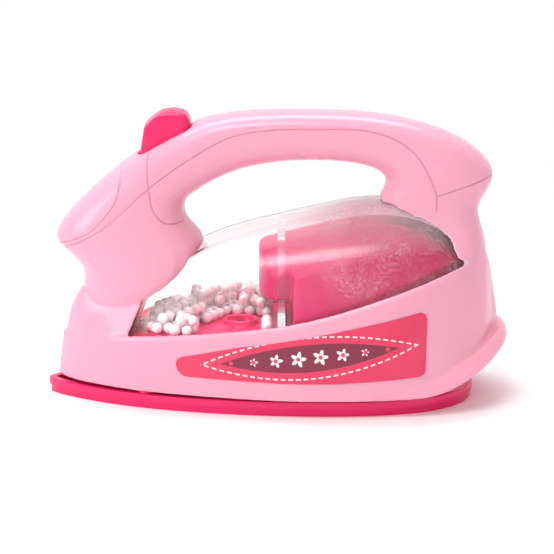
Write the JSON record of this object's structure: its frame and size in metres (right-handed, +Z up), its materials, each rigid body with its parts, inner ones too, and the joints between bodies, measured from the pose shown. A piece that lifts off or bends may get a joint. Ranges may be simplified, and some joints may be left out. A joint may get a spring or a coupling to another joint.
{
  "type": "toy iron",
  "caption": "Child's toy iron with an arched handle, a clear bead window over a fan vent, a thumb button, a leaf-shaped sole plate and a battery door underneath",
  "frame": {"origin": "middle of the whole length on the centre plane, on the table under the sole plate", "axes": "nose along -X, heel along +X, the labelled left side along -Y, up along +Z"},
  "size_m": [0.18, 0.084, 0.1126],
  "materials": {
    "pale_pink_plastic": "moulded, satin gloss",
    "hot_pink_plastic": "moulded, gloss",
    "clear_plastic": "clear, lightly scuffed",
    "white_foam": "expanded foam",
    "white_plastic": "moulded",
    "dark_plastic": "moulded",
    "screw_steel": "zinc plated",
    "motor_steel": "plain can",
    "cell_case": "sleeved cell",
    "label_print": "printed film"
  },
  "bodies": {
    "body": {"sole_plate": "hot_pink_plastic", "left_shell": "pale_pink_plastic", "right_shell": "pale_pink_plastic", "body_screw_nose": "screw_steel", "body_screw_handle": "screw_steel", "body_screw_hump": "screw_steel", "body_screw_heel": "screw_steel", "sole_screw_front_left": "screw_steel", "sole_screw_front_right": "screw_steel", "sole_screw_rear_left": "screw_steel", "sole_screw_rear_right": "screw_steel", "button_spring": "screw_steel", "switch_shelf": "hot_pink_plastic", "switch_body": "dark_plastic", "clear_dome": "clear_plastic", "chamber_divider": "clear_plastic", "bead_floor": "hot_pink_plastic", "rear_cover": "hot_pink_plastic", "beads": "white_foam", "motor": "motor_steel", "motor_bracket": "dark_plastic", "bracket_screw_left": "screw_steel", "bracket_screw_right": "screw_steel", "battery_tray": "dark_plastic", "cell_left": "cell_case", "cell_right": "cell_case", "contact_spring_left": "screw_steel", "contact_spring_right": "screw_steel", "contact_plate_left": "screw_steel", "contact_plate_right": "screw_steel", "side_label": "label_print"},
    "button": {"steam_button": "hot_pink_plastic", "switch_plunger": "white_plastic"},
    "rotor": {"fan": "white_plastic", "motor_shaft": "screw_steel"},
    "door": {"battery_door": "hot_pink_plastic", "door_screw": "screw_steel"}
  },
  "joints": [
    {"name": "button_press", "type": "slide", "parent": "body", "child": "button", "axis": [0, 0, -1], "range_m": [0, 0.003], "stiffness_N_per_m": 300, "springref_m": -0.003, "deforming": ["button_spring"]},
    {"name": "fan_spin", "type": "hinge", "parent": "body", "child": "rotor", "pos_m": [-0.01436, 0, 0.0217], "axis": [0, 0, 1], "continuous": true},
    {"name": "door_open", "type": "hinge", "parent": "body", "child": "door", "pos_m": [0.00364, 0, 0], "axis": [0, 1, 0], "range_deg": [0, 40]}
  ]
}
